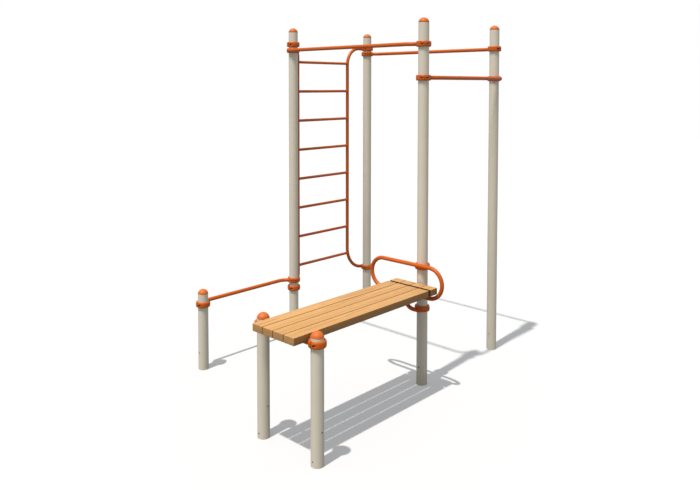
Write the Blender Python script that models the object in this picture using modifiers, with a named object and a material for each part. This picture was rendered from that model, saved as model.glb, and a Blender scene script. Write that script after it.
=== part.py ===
"""Outdoor multi pull-up bar station: seven steel posts, pull-up bars, a ladder and a bench.

Tubes are carried on the posts by split clamps. The half of a clamp that is welded to a
tube belongs to that tube; the loose half is bolted to it from the other side of the post.

Frame: +X runs along the bench towards the tall posts, +Y to the ladder side, +Z up. The
origin is at the middle of the station's outline on the ground. Metres.
"""
import math

import bmesh
import bpy
from mathutils import Matrix, Vector

# Plan, between post centres
BAY_WIDTH = 1.087
BAY_DEPTH = 1.5645
LOW_BAR_REACH = 1.0785
BENCH_REACH = 1.488
LEG_SPACING = 0.540

# Posts
POST_RADIUS = 0.04445
POST_WALL = 0.0032
TALL_POST_HEIGHT = 2.993
LOW_POST_RISE = 0.090
BENCH_LEG_RISE = 0.0555
ANCHOR_HOLE_RADIUS = 0.0065
POST_HOLE_HEIGHT = 0.150
LEG_LOWER_HOLE_HEIGHT = 0.037
LEG_UPPER_HOLE_HEIGHT = 0.233

# Post caps
CAP_HEIGHT = 0.041
CAP_LIP = 0.0016
CAP_RIM_HEIGHT = 0.006
CAP_PLUG_LENGTH = 0.020

# Tubes
TUBE_RADIUS = 0.01685
RUNG_RADIUS = 0.01345
BAR_BEND_RADIUS = 0.120
END_PAST_POST = 0.010

# Clamps
CLAMP_HEIGHT = 0.046
CLAMP_BOLT_WALL = 0.0022
CLAMP_EDGE_STEP = 0.004
CLAMP_SLIT = 0.004
WELD_LAND = 0.0004
WELD_STOCK = 0.004
BOLT_HEAD_RADIUS = 0.0062
BOLT_HEAD_HEIGHT = 0.008
BOLT_HEAD_SEAT = 0.001
POCKET_CLEARANCE = 0.0013
POCKET_FLOOR = 0.011

# Bars: how far their centres lie below the tall posts' rims, and the low bar's height
HIGH_BAR_DROP = 0.174
FRONT_BAR_DROP = 0.449
LOW_BAR_HEIGHT = 0.575

# How far beside a post's axis a turned-in bar aims
TURN_IN_ASIDE = 0.026

# Ladder, whose clamps sit just above the high bars' and just below the low bar's
LADDER_TOP_SPACING = 0.0115
LADDER_BOTTOM_SPACING = 0.032
LEFT_STILE_RUN = 0.005
RIGHT_STILE_RUN = 0.072
LEFT_STILE_BEND_RADIUS = 0.112
RIGHT_STILE_BEND_RADIUS = 0.176
RIGHT_STILE_FOOT_BEND_RADIUS = 0.238
RUNG_COUNT = 8
TOP_RUNG_DROP = 0.165
BOTTOM_RUNG_RISE = 0.1845

# Bench
BENCH_TOP_HEIGHT = 0.866
PLANK_THICKNESS = 0.0525
PLANK_COUNT = 4
PLANK_GAP = 0.005
PLANK_EDGE = 0.0025
BENCH_OVERHANG = 0.149
LEG_CLAMP_RISE = 0.016
BENCH_SIDE_CLEARANCE = 0.0012
END_BLOCK_LENGTH = 0.090
END_BLOCK_GAP = 0.024
END_BLOCK_CLEARANCE = 0.001

# Bench handle and its stay
HANDLE_BEND_RADIUS = 0.125
HANDLE_STRAIGHT = 0.484
HANDLE_CLAMP_DROP = 0.0145
STAY_BEND_RADIUS = 0.080
STAY_RUN = 0.046
STAY_RISER = 0.0432
STAY_CLAMP_RISE = 0.010

# Bracket that carries the planks on the handle's lower run
BRACKET_HEIGHT = 0.0399
BRACKET_LENGTH = 0.200
BRACKET_THICKNESS = 0.008
BRACKET_POST_CLEARANCE = 0.002
BRACKET_BEND_SHARE = 0.5
LUG_LENGTH = 0.060
LUG_WIDTH = 0.040
LUG_PLACE_SHARE = 0.7

# Gap between pieces that touch, and how far a cutter runs past what it cuts
GAP = 0.0003
OVERRUN = 0.010

# Facets
ROUND_STEPS = 24
CAP_STEPS = 16
CAP_RINGS = 3
TUBE_RESOLUTION = 4
HOLE_STEPS = 8
BOLT_STEPS = 8
BEND_STEP = math.radians(20)
SMOOTH_ANGLE = math.radians(40)

# Sizes worked out from the ones above
BORE_RADIUS = POST_RADIUS + GAP
POCKET_RADIUS = BOLT_HEAD_RADIUS + POCKET_CLEARANCE
BOLT_OFFSET = BORE_RADIUS + CLAMP_BOLT_WALL + POCKET_RADIUS
CLAMP_RADIUS = BOLT_OFFSET + POCKET_RADIUS
SIDE_OFFSET = BORE_RADIUS + WELD_LAND + TUBE_RADIUS
HIGH_BAR_HEIGHT = TALL_POST_HEIGHT - HIGH_BAR_DROP
FRONT_BAR_HEIGHT = TALL_POST_HEIGHT - FRONT_BAR_DROP
LADDER_TOP_HEIGHT = HIGH_BAR_HEIGHT + CLAMP_HEIGHT + LADDER_TOP_SPACING
LADDER_BOTTOM_HEIGHT = LOW_BAR_HEIGHT - CLAMP_HEIGHT - LADDER_BOTTOM_SPACING
TOP_RUNG_HEIGHT = LADDER_TOP_HEIGHT - TOP_RUNG_DROP
BOTTOM_RUNG_HEIGHT = LADDER_BOTTOM_HEIGHT + BOTTOM_RUNG_RISE
RUNG_PITCH = (TOP_RUNG_HEIGHT - BOTTOM_RUNG_HEIGHT) / (RUNG_COUNT - 1)
PLANK_BOTTOM = BENCH_TOP_HEIGHT - PLANK_THICKNESS
CROSS_TUBE_HEIGHT = PLANK_BOTTOM - GAP - TUBE_RADIUS
LOW_POST_HEIGHT = LOW_BAR_HEIGHT + LOW_POST_RISE
BENCH_LEG_HEIGHT = CROSS_TUBE_HEIGHT + BENCH_LEG_RISE
HANDLE_BOTTOM_HEIGHT = PLANK_BOTTOM - GAP - BRACKET_HEIGHT - GAP - TUBE_RADIUS
HANDLE_TOP_HEIGHT = HANDLE_BOTTOM_HEIGHT + 2 * HANDLE_BEND_RADIUS
HANDLE_MIDDLE = STAY_BEND_RADIUS + STAY_RUN
HANDLE_FRONT_RUN = HANDLE_STRAIGHT / 2 - HANDLE_MIDDLE
STAY_HEIGHT = HANDLE_BOTTOM_HEIGHT - STAY_BEND_RADIUS - STAY_RISER
BENCH_HALF_WIDTH = LEG_SPACING / 2 - CLAMP_RADIUS - BENCH_SIDE_CLEARANCE
END_BLOCK_END = SIDE_OFFSET + TUBE_RADIUS + END_BLOCK_CLEARANCE
END_BLOCK_START = END_BLOCK_END + END_BLOCK_LENGTH
LONG_PLANK_END = END_BLOCK_START + END_BLOCK_GAP
LEFT_EDGE = -BENCH_REACH - BENCH_OVERHANG
RIGHT_EDGE = BAY_WIDTH + SIDE_OFFSET + TUBE_RADIUS
FRONT_EDGE = -LEG_SPACING / 2 - CLAMP_RADIUS
BACK_EDGE = BAY_DEPTH + SIDE_OFFSET + TUBE_RADIUS

# Post centres, with the front left post at zero before the shift to the frame's origin
SHIFT = Vector((-(LEFT_EDGE + RIGHT_EDGE) / 2, -(FRONT_EDGE + BACK_EDGE) / 2, 0))
FRONT_LEFT = Vector((0, 0, 0)) + SHIFT
FRONT_RIGHT = Vector((BAY_WIDTH, 0, 0)) + SHIFT
BACK_LEFT = Vector((0, BAY_DEPTH, 0)) + SHIFT
BACK_RIGHT = Vector((BAY_WIDTH, BAY_DEPTH, 0)) + SHIFT
LOW_BAR_POST = Vector((-LOW_BAR_REACH, BAY_DEPTH, 0)) + SHIFT
LEG_BACK = Vector((-BENCH_REACH, LEG_SPACING / 2, 0)) + SHIFT
LEG_FRONT = Vector((-BENCH_REACH, -LEG_SPACING / 2, 0)) + SHIFT

# Directions in plan, as angles from +X
TO_RIGHT = 0
TO_BACK = math.radians(90)
TO_BACK_LEFT = math.radians(135)
TO_LEFT = math.radians(180)
TO_FRONT = math.radians(270)
TO_FRONT_RIGHT = math.radians(315)
HALF_TURN = math.radians(180)

# Colours (linear), roughness and metallic value of each material
FINISHES = {
    "post_paint": ((0.56, 0.50, 0.40, 1), 0.45, 0.0),
    "orange_paint": ((0.73, 0.12, 0.02, 1), 0.35, 0.0),
    "bench_wood": ((0.85, 0.55, 0.27, 1), 0.50, 0.0),
}


def remove_everything():
    for thing in list(bpy.data.objects):
        bpy.data.objects.remove(thing, do_unlink=True)


def new_collection(name):
    made = bpy.data.collections.new(name)
    bpy.context.scene.collection.children.link(made)
    return made


def new_material(name, finish):
    colour, roughness, metallic = FINISHES[finish]
    made = bpy.data.materials.new(name)
    made.use_nodes = True
    shader = made.node_tree.nodes["Principled BSDF"]
    shader.inputs["Base Color"].default_value = colour
    shader.inputs["Roughness"].default_value = roughness
    shader.inputs["Metallic"].default_value = metallic
    made.diffuse_color = colour
    return made


def settle():
    """Brings the evaluated objects up to date and returns them."""
    bpy.context.view_layer.update()
    return bpy.context.evaluated_depsgraph_get()


def baked_mesh(thing, name):
    """The object's mesh with its modifiers applied; the object goes."""
    graph = settle()
    mesh = bpy.data.meshes.new_from_object(thing.evaluated_get(graph), depsgraph=graph)
    mesh.name = name
    bpy.data.objects.remove(thing, do_unlink=True)
    return mesh


def make_smooth(mesh):
    mesh.shade_smooth()
    mesh.set_sharp_from_angle(angle=SMOOTH_ANGLE)


def place(name, mesh, where, location=(0, 0, 0), turn=0):
    made = bpy.data.objects.new(name, mesh)
    made.location = location
    made.rotation_euler = (0, 0, turn)
    where.objects.link(made)
    return made


def finish_piece(thing, finish):
    """Gives a finished piece its own material, on the object's slot."""
    if not thing.data.materials:
        thing.data.materials.append(None)
    thing.material_slots[0].link = "OBJECT"
    thing.material_slots[0].material = new_material(thing.name, finish)
    return thing


def hide_tool(thing):
    thing.hide_render = True
    thing.display_type = "WIRE"
    return thing


def boolean(thing, tool, operation):
    cut = thing.modifiers.new(operation.lower() + "_" + tool.name, "BOOLEAN")
    cut.operation = operation
    cut.solver = "EXACT"
    cut.object = tool


# Turned shapes

def turned(name, profile, where, steps=ROUND_STEPS, start=0):
    """A closed profile of (radius, height) points, turned once about Z.

    The outer side of the profile runs from top to bottom. The first facet starts at the
    given angle from +X.
    """
    mesh = bpy.data.meshes.new(name)
    count = len(profile)
    points = [(radius * math.cos(start), radius * math.sin(start), height)
              for radius, height in profile]
    open_ends = profile[0][0] == 0 and profile[-1][0] == 0
    edges = [(i, (i + 1) % count) for i in range(count - 1 if open_ends else count)]
    mesh.from_pydata(points, edges, [])
    made = place(name, mesh, where)
    screw = made.modifiers.new("turn", "SCREW")
    screw.steps = steps
    screw.render_steps = steps
    screw.use_merge_vertices = True
    screw.merge_threshold = 0.0001
    screw.use_normal_calculate = False
    return made


def turned_mesh(name, profile, where, steps=ROUND_STEPS):
    mesh = baked_mesh(turned(name, profile, where, steps), name)
    make_smooth(mesh)
    return mesh


def cylinder_tool(name, radius, low, high, where, steps=ROUND_STEPS):
    """A hidden cylinder on Z through the origin, from low to high."""
    mesh = bpy.data.meshes.new(name)
    shape = bmesh.new()
    bmesh.ops.create_cone(
        shape, cap_ends=True, segments=steps, radius1=radius, radius2=radius,
        depth=high - low, matrix=Matrix.Translation((0, 0, (high + low) / 2)))
    shape.to_mesh(mesh)
    shape.free()
    return hide_tool(place(name, mesh, where))


def box_mesh(name, low, high, edge=0):
    """A box between two corners, with its edges rounded over when edge is given."""
    mesh = bpy.data.meshes.new(name)
    shape = bmesh.new()
    bmesh.ops.create_cube(shape, size=1)
    size = Vector(high) - Vector(low)
    middle = (Vector(high) + Vector(low)) / 2
    bmesh.ops.scale(shape, vec=size, verts=shape.verts)
    bmesh.ops.translate(shape, vec=middle, verts=shape.verts)
    if edge:
        bmesh.ops.bevel(shape, geom=shape.edges, offset=edge, segments=1, affect="EDGES")
    shape.to_mesh(mesh)
    shape.free()
    return mesh


# Tubes

def rounded_path(corners, *radii):
    """Points along a path whose inner corners are rounded, each with its own radius."""
    points = [corners[0]]
    for before, corner, after, radius in zip(corners, corners[1:], corners[2:], radii):
        arriving = (corner - before).normalized()
        leaving = (after - corner).normalized()
        angle = arriving.angle(leaving)
        tangent = radius * math.tan(angle / 2)
        start = corner - arriving * tangent
        inward = (leaving - arriving * math.cos(angle)).normalized()
        centre = start + inward * radius
        count = math.ceil(angle / BEND_STEP)
        for step in range(count + 1):
            turn = angle * step / count
            points.append(centre - inward * radius * math.cos(turn)
                          + arriving * radius * math.sin(turn))
    points.append(corners[-1])
    return points


def tube_object(name, points, radius, where, closed=False):
    """A round tube along the points: a bevelled curve with filled caps, made a mesh."""
    curve = bpy.data.curves.new(name, "CURVE")
    curve.dimensions = "3D"
    curve.bevel_depth = radius
    curve.bevel_resolution = TUBE_RESOLUTION
    curve.use_fill_caps = True
    line = curve.splines.new("POLY")
    line.points.add(len(points) - 1)
    for target, point in zip(line.points, points):
        target.co = (*point, 1)
    line.use_cyclic_u = closed
    drawn = place(name, curve, where)
    graph = settle()
    mesh = bpy.data.meshes.new_from_object(drawn.evaluated_get(graph), depsgraph=graph)
    mesh.name = name
    shape = bmesh.new()
    shape.from_mesh(mesh)
    bmesh.ops.remove_doubles(shape, verts=shape.verts, dist=GAP / 10)
    bmesh.ops.recalc_face_normals(shape, faces=shape.faces)
    shape.to_mesh(mesh)
    shape.free()
    make_smooth(mesh)
    matrix = drawn.matrix_world.copy()
    bpy.data.objects.remove(drawn, do_unlink=True)
    bpy.data.curves.remove(curve)
    made = place(name, mesh, where)
    made.matrix_world = matrix
    return made


# Posts and their caps

def post_mesh(name, height, where):
    inner = POST_RADIUS - POST_WALL
    profile = [(POST_RADIUS, height), (POST_RADIUS, 0), (inner, 0), (inner, height)]
    return turned_mesh(name, profile, where)


def cross_hole(name, post, height, direction, where):
    """Bores a hole through both walls of a post, along a direction in plan."""
    reach = POST_RADIUS + OVERRUN
    tool = cylinder_tool(name, ANCHOR_HOLE_RADIUS, -reach, reach, where, HOLE_STEPS)
    tool.rotation_euler = (0, math.radians(90), direction)
    tool.location = post.location + Vector((0, 0, height))
    boolean(post, tool, "DIFFERENCE")


def cap_mesh(where):
    """A domed cap with a short rim, and a plug that goes down inside the post."""
    radius = POST_RADIUS + CAP_LIP
    plug = (POST_RADIUS - POST_WALL) * math.cos(math.pi / ROUND_STEPS) - GAP
    rise = CAP_HEIGHT - CAP_RIM_HEIGHT
    dome = []
    for ring in range(CAP_RINGS + 1):
        angle = math.radians(90) * ring / CAP_RINGS
        dome.append((radius * math.sin(angle), CAP_RIM_HEIGHT + rise * math.cos(angle)))
    dome[0] = (0, CAP_HEIGHT)
    profile = dome + [(radius, GAP), (plug, GAP), (plug, -CAP_PLUG_LENGTH), (0, -CAP_PLUG_LENGTH)]
    return turned_mesh("cap", profile, where, CAP_STEPS)


def make_posts(parts, tools):
    tall = post_mesh("tall_post", TALL_POST_HEIGHT, tools)
    low = post_mesh("low_post", LOW_POST_HEIGHT, tools)
    leg = post_mesh("bench_leg", BENCH_LEG_HEIGHT, tools)
    cap = cap_mesh(tools)
    plan = [
        ("front_left", "post_front_left", tall, FRONT_LEFT, TALL_POST_HEIGHT),
        ("front_right", "post_front_right", tall, FRONT_RIGHT, TALL_POST_HEIGHT),
        ("back_left", "post_back_left", tall, BACK_LEFT, TALL_POST_HEIGHT),
        ("back_right", "post_back_right", tall, BACK_RIGHT, TALL_POST_HEIGHT),
        ("low_bar", "post_low_bar", low, LOW_BAR_POST, LOW_POST_HEIGHT),
        ("leg_back", "bench_leg_back", leg, LEG_BACK, BENCH_LEG_HEIGHT),
        ("leg_front", "bench_leg_front", leg, LEG_FRONT, BENCH_LEG_HEIGHT),
    ]
    for short, name, mesh, spot, height in plan:
        post = finish_piece(place(name, mesh, parts, spot), "post_paint")
        if mesh is leg:
            cross_hole("hole_low_" + short, post, LEG_LOWER_HOLE_HEIGHT, TO_LEFT, tools)
            cross_hole("hole_high_" + short, post, LEG_UPPER_HOLE_HEIGHT, TO_FRONT, tools)
        else:
            cross_hole("hole_" + short, post, POST_HOLE_HEIGHT, TO_LEFT, tools)
        top = spot + Vector((0, 0, height))
        finish_piece(place("cap_" + short, cap, parts, top), "orange_paint")


# Clamps

def clamp_ring(name, inner, where, start):
    """The whole ring that a clamp half is cut from, with its edges drawn in."""
    half = CLAMP_HEIGHT / 2
    edge = CLAMP_RADIUS - CLAMP_EDGE_STEP
    shoulder = half - CLAMP_EDGE_STEP * 2
    profile = [(inner, half), (edge, half), (CLAMP_RADIUS, shoulder),
               (CLAMP_RADIUS, -shoulder), (edge, -half), (inner, -half)]
    return turned(name, profile, where, start=start)


def clamp_half_mesh(name, inner, pockets, where, start=0):
    """Half a clamp, centred on +X, with its slit face just past the post's axis."""
    half = clamp_ring(name, inner, where, start)
    far = CLAMP_RADIUS + OVERRUN
    slit = hide_tool(place("slit_" + name, box_mesh(
        "slit_" + name, (-far, -far, -far), (CLAMP_SLIT / 2, far, far)), where))
    boolean(half, slit, "DIFFERENCE")
    if pockets:
        for side in (-1, 1):
            pocket = cylinder_tool("pocket_" + name, POCKET_RADIUS, POCKET_FLOOR,
                                   far, where, BOLT_STEPS)
            bolt = cylinder_tool("bolt_" + name, BOLT_HEAD_RADIUS,
                                 POCKET_FLOOR - BOLT_HEAD_SEAT,
                                 POCKET_FLOOR + BOLT_HEAD_HEIGHT, where, BOLT_STEPS)
            for tool in (pocket, bolt):
                tool.rotation_euler = (0, math.radians(90), 0)
                tool.location = (0, side * BOLT_OFFSET, 0)
            boolean(half, pocket, "DIFFERENCE")
            boolean(half, bolt, "UNION")
    mesh = baked_mesh(half, name)
    make_smooth(mesh)
    return mesh


class Clamps:
    """Makes the welded and the loose halves, and fits them to tubes."""

    def __init__(self, parts, tools):
        self.parts = parts
        self.tools = tools
        stock = BORE_RADIUS - WELD_STOCK
        between = math.pi / ROUND_STEPS
        self.loose = clamp_half_mesh("loose_half", BORE_RADIUS, True, tools)
        self.plain = clamp_half_mesh("welded_half", stock, False, tools, between)
        self.bolted = clamp_half_mesh("welded_half_bolted", stock, True, tools, between)

    def weld(self, tube, post, height, direction, bolted=False):
        """Joins a welded half to the tube and bores it for the post."""
        spot = post + Vector((0, 0, height))
        mesh = self.bolted if bolted else self.plain
        half = hide_tool(place("weld_" + tube.name, mesh, self.tools, spot, direction))
        reach = CLAMP_HEIGHT + OVERRUN
        bore = cylinder_tool("bore_" + tube.name, BORE_RADIUS, -reach, reach, self.tools)
        bore.location = spot
        boolean(tube, half, "UNION")
        boolean(tube, bore, "DIFFERENCE")

    def close(self, name, post, height, direction):
        """The loose half, across the post from the welded one."""
        spot = post + Vector((0, 0, height))
        half = place(name, self.loose, self.parts, spot, direction + HALF_TURN)
        finish_piece(half, "orange_paint")

    def fit(self, tube, name, post, height, direction, bolted=False):
        self.weld(tube, post, height, direction, bolted)
        self.close(name, post, height, direction)


# Bars

def turned_in_path(far_post, near_post, side, height):
    """A bar beside both posts that turns in by 45 degrees at the near one.

    It runs past the far post, and side points from the posts to the bar.
    """
    along = (near_post - far_post).normalized()
    lift = Vector((0, 0, height))
    start = far_post + side * SIDE_OFFSET - along * END_PAST_POST + lift
    reach = SIDE_OFFSET + TURN_IN_ASIDE * math.sqrt(2)
    corner = near_post + side * SIDE_OFFSET - along * reach + lift
    inward = (along - side).normalized()
    to_slit = (near_post + lift - corner).dot(inward)
    end = corner + inward * (to_slit - CLAMP_SLIT * 2)
    return rounded_path([start, corner, end], BAR_BEND_RADIUS)


def make_bar(clamps, name, posts, sides, height, clamp_names):
    """posts and sides: far post, near post; direction of each welded half."""
    far_post, near_post = posts
    far_side, near_side = sides
    side = Vector((round(math.cos(far_side)), round(math.sin(far_side)), 0))
    path = turned_in_path(far_post, near_post, side, height)
    bar = tube_object(name, path, TUBE_RADIUS, clamps.parts)
    clamps.fit(bar, clamp_names[0], far_post, height, far_side)
    clamps.fit(bar, clamp_names[1], near_post, height, near_side, bolted=True)
    finish_piece(bar, "orange_paint")


def make_bars(clamps):
    make_bar(clamps, "high_bar_left", (BACK_LEFT, FRONT_LEFT), (TO_LEFT, TO_BACK_LEFT),
             HIGH_BAR_HEIGHT, ("clamp_high_bar_left_back", "clamp_high_bar_left_front"))
    make_bar(clamps, "high_bar_right", (FRONT_RIGHT, BACK_RIGHT), (TO_RIGHT, TO_FRONT_RIGHT),
             HIGH_BAR_HEIGHT, ("clamp_high_bar_right_front", "clamp_high_bar_right_back"))
    make_bar(clamps, "front_bar", (FRONT_RIGHT, FRONT_LEFT), (TO_FRONT, TO_FRONT_RIGHT),
             FRONT_BAR_HEIGHT, ("clamp_front_bar_right", "clamp_front_bar_left"))
    make_bar(clamps, "low_bar", (LOW_BAR_POST, BACK_LEFT), (TO_BACK, TO_BACK_LEFT),
             LOW_BAR_HEIGHT, ("clamp_low_bar_outer", "clamp_low_bar_inner"))


# Ladder

def stile_path(post, outward, place_x, *radii):
    """A C-shaped stile: both ends run behind the post and a little past it."""
    back = BAY_DEPTH + SIDE_OFFSET + SHIFT.y
    end_x = post.x + outward * END_PAST_POST
    corners = [
        Vector((end_x, back, LADDER_TOP_HEIGHT)),
        Vector((place_x, back, LADDER_TOP_HEIGHT)),
        Vector((place_x, back, LADDER_BOTTOM_HEIGHT)),
        Vector((end_x, back, LADDER_BOTTOM_HEIGHT)),
    ]
    return rounded_path(corners, *radii)


def make_stile(clamps, name, short, post, outward, place_x, *radii):
    """Makes a stile, and a slightly thicker copy that the rungs' ends are cut with."""
    path = stile_path(post, outward, place_x, *radii)
    stile = tube_object(name, path, TUBE_RADIUS, clamps.parts)
    clamps.fit(stile, "clamp_ladder_top_" + short, post, LADDER_TOP_HEIGHT, TO_BACK)
    clamps.fit(stile, "clamp_ladder_bottom_" + short, post, LADDER_BOTTOM_HEIGHT, TO_BACK)
    finish_piece(stile, "orange_paint")
    return hide_tool(tube_object("cope_" + short, path, TUBE_RADIUS + GAP, clamps.tools))


def make_ladder(clamps):
    left_x = BACK_LEFT.x + LEFT_STILE_RUN + LEFT_STILE_BEND_RADIUS
    right_x = BACK_RIGHT.x - RIGHT_STILE_RUN - RIGHT_STILE_BEND_RADIUS
    copes = [
        make_stile(clamps, "ladder_stile_left", "left", BACK_LEFT, -1, left_x,
                   LEFT_STILE_BEND_RADIUS, LEFT_STILE_BEND_RADIUS),
        make_stile(clamps, "ladder_stile_right", "right", BACK_RIGHT, 1, right_x,
                   RIGHT_STILE_BEND_RADIUS, RIGHT_STILE_FOOT_BEND_RADIUS),
    ]
    back = BAY_DEPTH + SIDE_OFFSET + SHIFT.y
    span = [Vector((left_x, 0, 0)), Vector((right_x, 0, 0))]
    first = tube_object("ladder_rung_1", span, RUNG_RADIUS, clamps.parts)
    for number in range(1, RUNG_COUNT + 1):
        rung = first
        if number > 1:
            rung = place("ladder_rung_%d" % number, first.data, clamps.parts)
        rung.location = (0, back, BOTTOM_RUNG_HEIGHT + (number - 1) * RUNG_PITCH)
        for cope in copes:
            boolean(rung, cope, "DIFFERENCE")
        finish_piece(rung, "orange_paint")


# Bench

def make_planks(parts):
    """Long planks, and short end blocks in line with them beyond a cross gap."""
    width = (2 * BENCH_HALF_WIDTH - (PLANK_COUNT - 1) * PLANK_GAP) / PLANK_COUNT
    top = BENCH_TOP_HEIGHT
    long_mesh = box_mesh("plank", (LEFT_EDGE, 0, PLANK_BOTTOM),
                         (-LONG_PLANK_END, width, top), PLANK_EDGE)
    short_mesh = box_mesh("end_block", (-END_BLOCK_START, 0, PLANK_BOTTOM),
                          (-END_BLOCK_END, width, top), PLANK_EDGE)
    for number in range(PLANK_COUNT):
        front = -BENCH_HALF_WIDTH + number * (width + PLANK_GAP)
        spot = FRONT_LEFT + Vector((0, front, 0))
        plank = place("bench_plank_%d" % (number + 1), long_mesh, parts, spot)
        block = place("bench_end_block_%d" % (number + 1), short_mesh, parts, spot)
        finish_piece(plank, "bench_wood")
        finish_piece(block, "bench_wood")


def make_cross_tube(clamps):
    lift = Vector((0, 0, CROSS_TUBE_HEIGHT))
    inset = Vector((0, CLAMP_SLIT * 2, 0))
    path = [LEG_FRONT + lift + inset, LEG_BACK + lift - inset]
    tube = tube_object("bench_cross_tube", path, TUBE_RADIUS, clamps.parts)
    height = CROSS_TUBE_HEIGHT + LEG_CLAMP_RISE
    clamps.fit(tube, "clamp_bench_leg_front", LEG_FRONT, height, TO_BACK, True)
    clamps.fit(tube, "clamp_bench_leg_back", LEG_BACK, height, TO_FRONT, True)
    finish_piece(tube, "orange_paint")


def handle_path():
    """A long loop in an upright plane beside the front left post."""
    side = FRONT_LEFT.x - SIDE_OFFSET
    middle_z = HANDLE_BOTTOM_HEIGHT + HANDLE_BEND_RADIUS
    middle_y = FRONT_LEFT.y + HANDLE_MIDDLE
    count = math.ceil(HALF_TURN / BEND_STEP)
    points = []
    for sign in (1, -1):
        for step in range(count + 1):
            turn = HALF_TURN * step / count
            out = HANDLE_STRAIGHT / 2 + HANDLE_BEND_RADIUS * math.sin(turn)
            rise = HANDLE_BEND_RADIUS * math.cos(turn)
            points.append(Vector((side, middle_y + sign * out, middle_z + sign * rise)))
    return points


def make_handle(clamps):
    side = FRONT_LEFT.x - SIDE_OFFSET
    path = handle_path()
    handle = tube_object("bench_handle", path, TUBE_RADIUS, clamps.parts, closed=True)
    clamps.fit(handle, "clamp_bench_handle", FRONT_LEFT,
               HANDLE_TOP_HEIGHT - HANDLE_CLAMP_DROP, TO_LEFT)
    finish_piece(handle, "orange_paint")
    cope = tube_object("cope_stay", path, TUBE_RADIUS + GAP, clamps.tools, closed=True)
    hide_tool(cope)
    top = HANDLE_BOTTOM_HEIGHT - TUBE_RADIUS / 4
    corners = [
        Vector((side, FRONT_LEFT.y - END_PAST_POST, STAY_HEIGHT)),
        Vector((side, FRONT_LEFT.y + HANDLE_MIDDLE, STAY_HEIGHT)),
        Vector((side, FRONT_LEFT.y + HANDLE_MIDDLE, top)),
    ]
    path = rounded_path(corners, STAY_BEND_RADIUS)
    stay = tube_object("bench_handle_stay", path, TUBE_RADIUS, clamps.parts)
    clamps.fit(stay, "clamp_bench_handle_stay", FRONT_LEFT,
               STAY_HEIGHT + STAY_CLAMP_RISE, TO_LEFT)
    boolean(stay, cope, "DIFFERENCE")
    finish_piece(stay, "orange_paint")


def make_bracket(parts, tools):
    """A plate under the planks, on two lugs that stand on the handle's lower run."""
    right = -POST_RADIUS - BRACKET_POST_CLEARANCE
    top = PLANK_BOTTOM - GAP
    low = top - BRACKET_HEIGHT
    half_width = HANDLE_FRONT_RUN + HANDLE_BEND_RADIUS * BRACKET_BEND_SHARE
    plate = place("bench_bracket", box_mesh(
        "bench_bracket", (right - BRACKET_LENGTH, -half_width, top - BRACKET_THICKNESS),
        (right, half_width, top)), parts, FRONT_LEFT)
    for side in (-1, 1):
        middle = side * HANDLE_FRONT_RUN * LUG_PLACE_SHARE
        lug = hide_tool(place("lug", box_mesh(
            "lug", (right - LUG_LENGTH, middle - LUG_WIDTH / 2, low),
            (right, middle + LUG_WIDTH / 2, top - BRACKET_THICKNESS / 2)),
            tools, FRONT_LEFT))
        boolean(plate, lug, "UNION")
    finish_piece(plate, "orange_paint")


def main():
    remove_everything()
    parts = new_collection("multi_pull_up_bar_station")
    tools = new_collection("cutters")
    make_posts(parts, tools)
    clamps = Clamps(parts, tools)
    make_bars(clamps)
    make_ladder(clamps)
    make_planks(parts)
    make_cross_tube(clamps)
    make_handle(clamps)
    make_bracket(parts, tools)


main()
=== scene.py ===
"""Outdoor multi pull-up bar station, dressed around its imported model.

Smooth powder-coated tubes and posts, cast clamps with sunk bolts, domed caps and grained
boards stand for the model's plain solids. Every surface is worked out with numpy from the
model's boxes and the sizes below. Metres; +Z is up.
"""

import math

import bpy
import numpy as np
from mathutils import Matrix, Vector


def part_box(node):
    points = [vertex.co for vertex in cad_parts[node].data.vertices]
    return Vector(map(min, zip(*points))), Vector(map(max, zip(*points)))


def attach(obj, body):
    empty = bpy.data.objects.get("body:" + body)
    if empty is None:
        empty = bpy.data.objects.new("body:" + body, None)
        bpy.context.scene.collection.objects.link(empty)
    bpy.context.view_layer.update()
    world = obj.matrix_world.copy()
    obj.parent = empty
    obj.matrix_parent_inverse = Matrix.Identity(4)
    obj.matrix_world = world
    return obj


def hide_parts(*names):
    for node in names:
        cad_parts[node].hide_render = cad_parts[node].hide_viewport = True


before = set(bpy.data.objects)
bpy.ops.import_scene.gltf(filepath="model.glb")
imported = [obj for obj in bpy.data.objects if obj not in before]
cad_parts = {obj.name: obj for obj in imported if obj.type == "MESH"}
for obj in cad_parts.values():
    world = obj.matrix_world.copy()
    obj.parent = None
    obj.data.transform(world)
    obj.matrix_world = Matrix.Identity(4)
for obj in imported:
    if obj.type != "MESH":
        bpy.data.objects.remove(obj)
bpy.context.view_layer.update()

BODY = "root"

# Posts
POST_RADIUS = 0.04445
POST_WALL = 0.0032
POST_EDGE = 0.0006
ANCHOR_HOLE_RADIUS = 0.0065
POST_HOLE_HEIGHT = 0.150
LEG_LOWER_HOLE_HEIGHT = 0.037
LEG_UPPER_HOLE_HEIGHT = 0.233
HOLE_PATCH_RISE = 0.011
HOLE_PATCH_CELLS = 6
HOLE_RING_SHARE = 0.6
POST_AROUND = 96

# Caps
CAP_RISE = 0.041
CAP_LIP = 0.0016
CAP_RIM = 0.0070
CAP_NECK_RISE = 0.0040
CAP_NECK_RADIUS = 0.0425
CAP_CREASE = 0.0007
CAP_DOME_RADIUS = 0.0428
CAP_DOME_POWER = 1.15
CAP_PLUG = 0.020
CAP_PLUG_EDGE = 0.002
CAP_DOME_ROWS = 22
CAP_AROUND = 64

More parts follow.
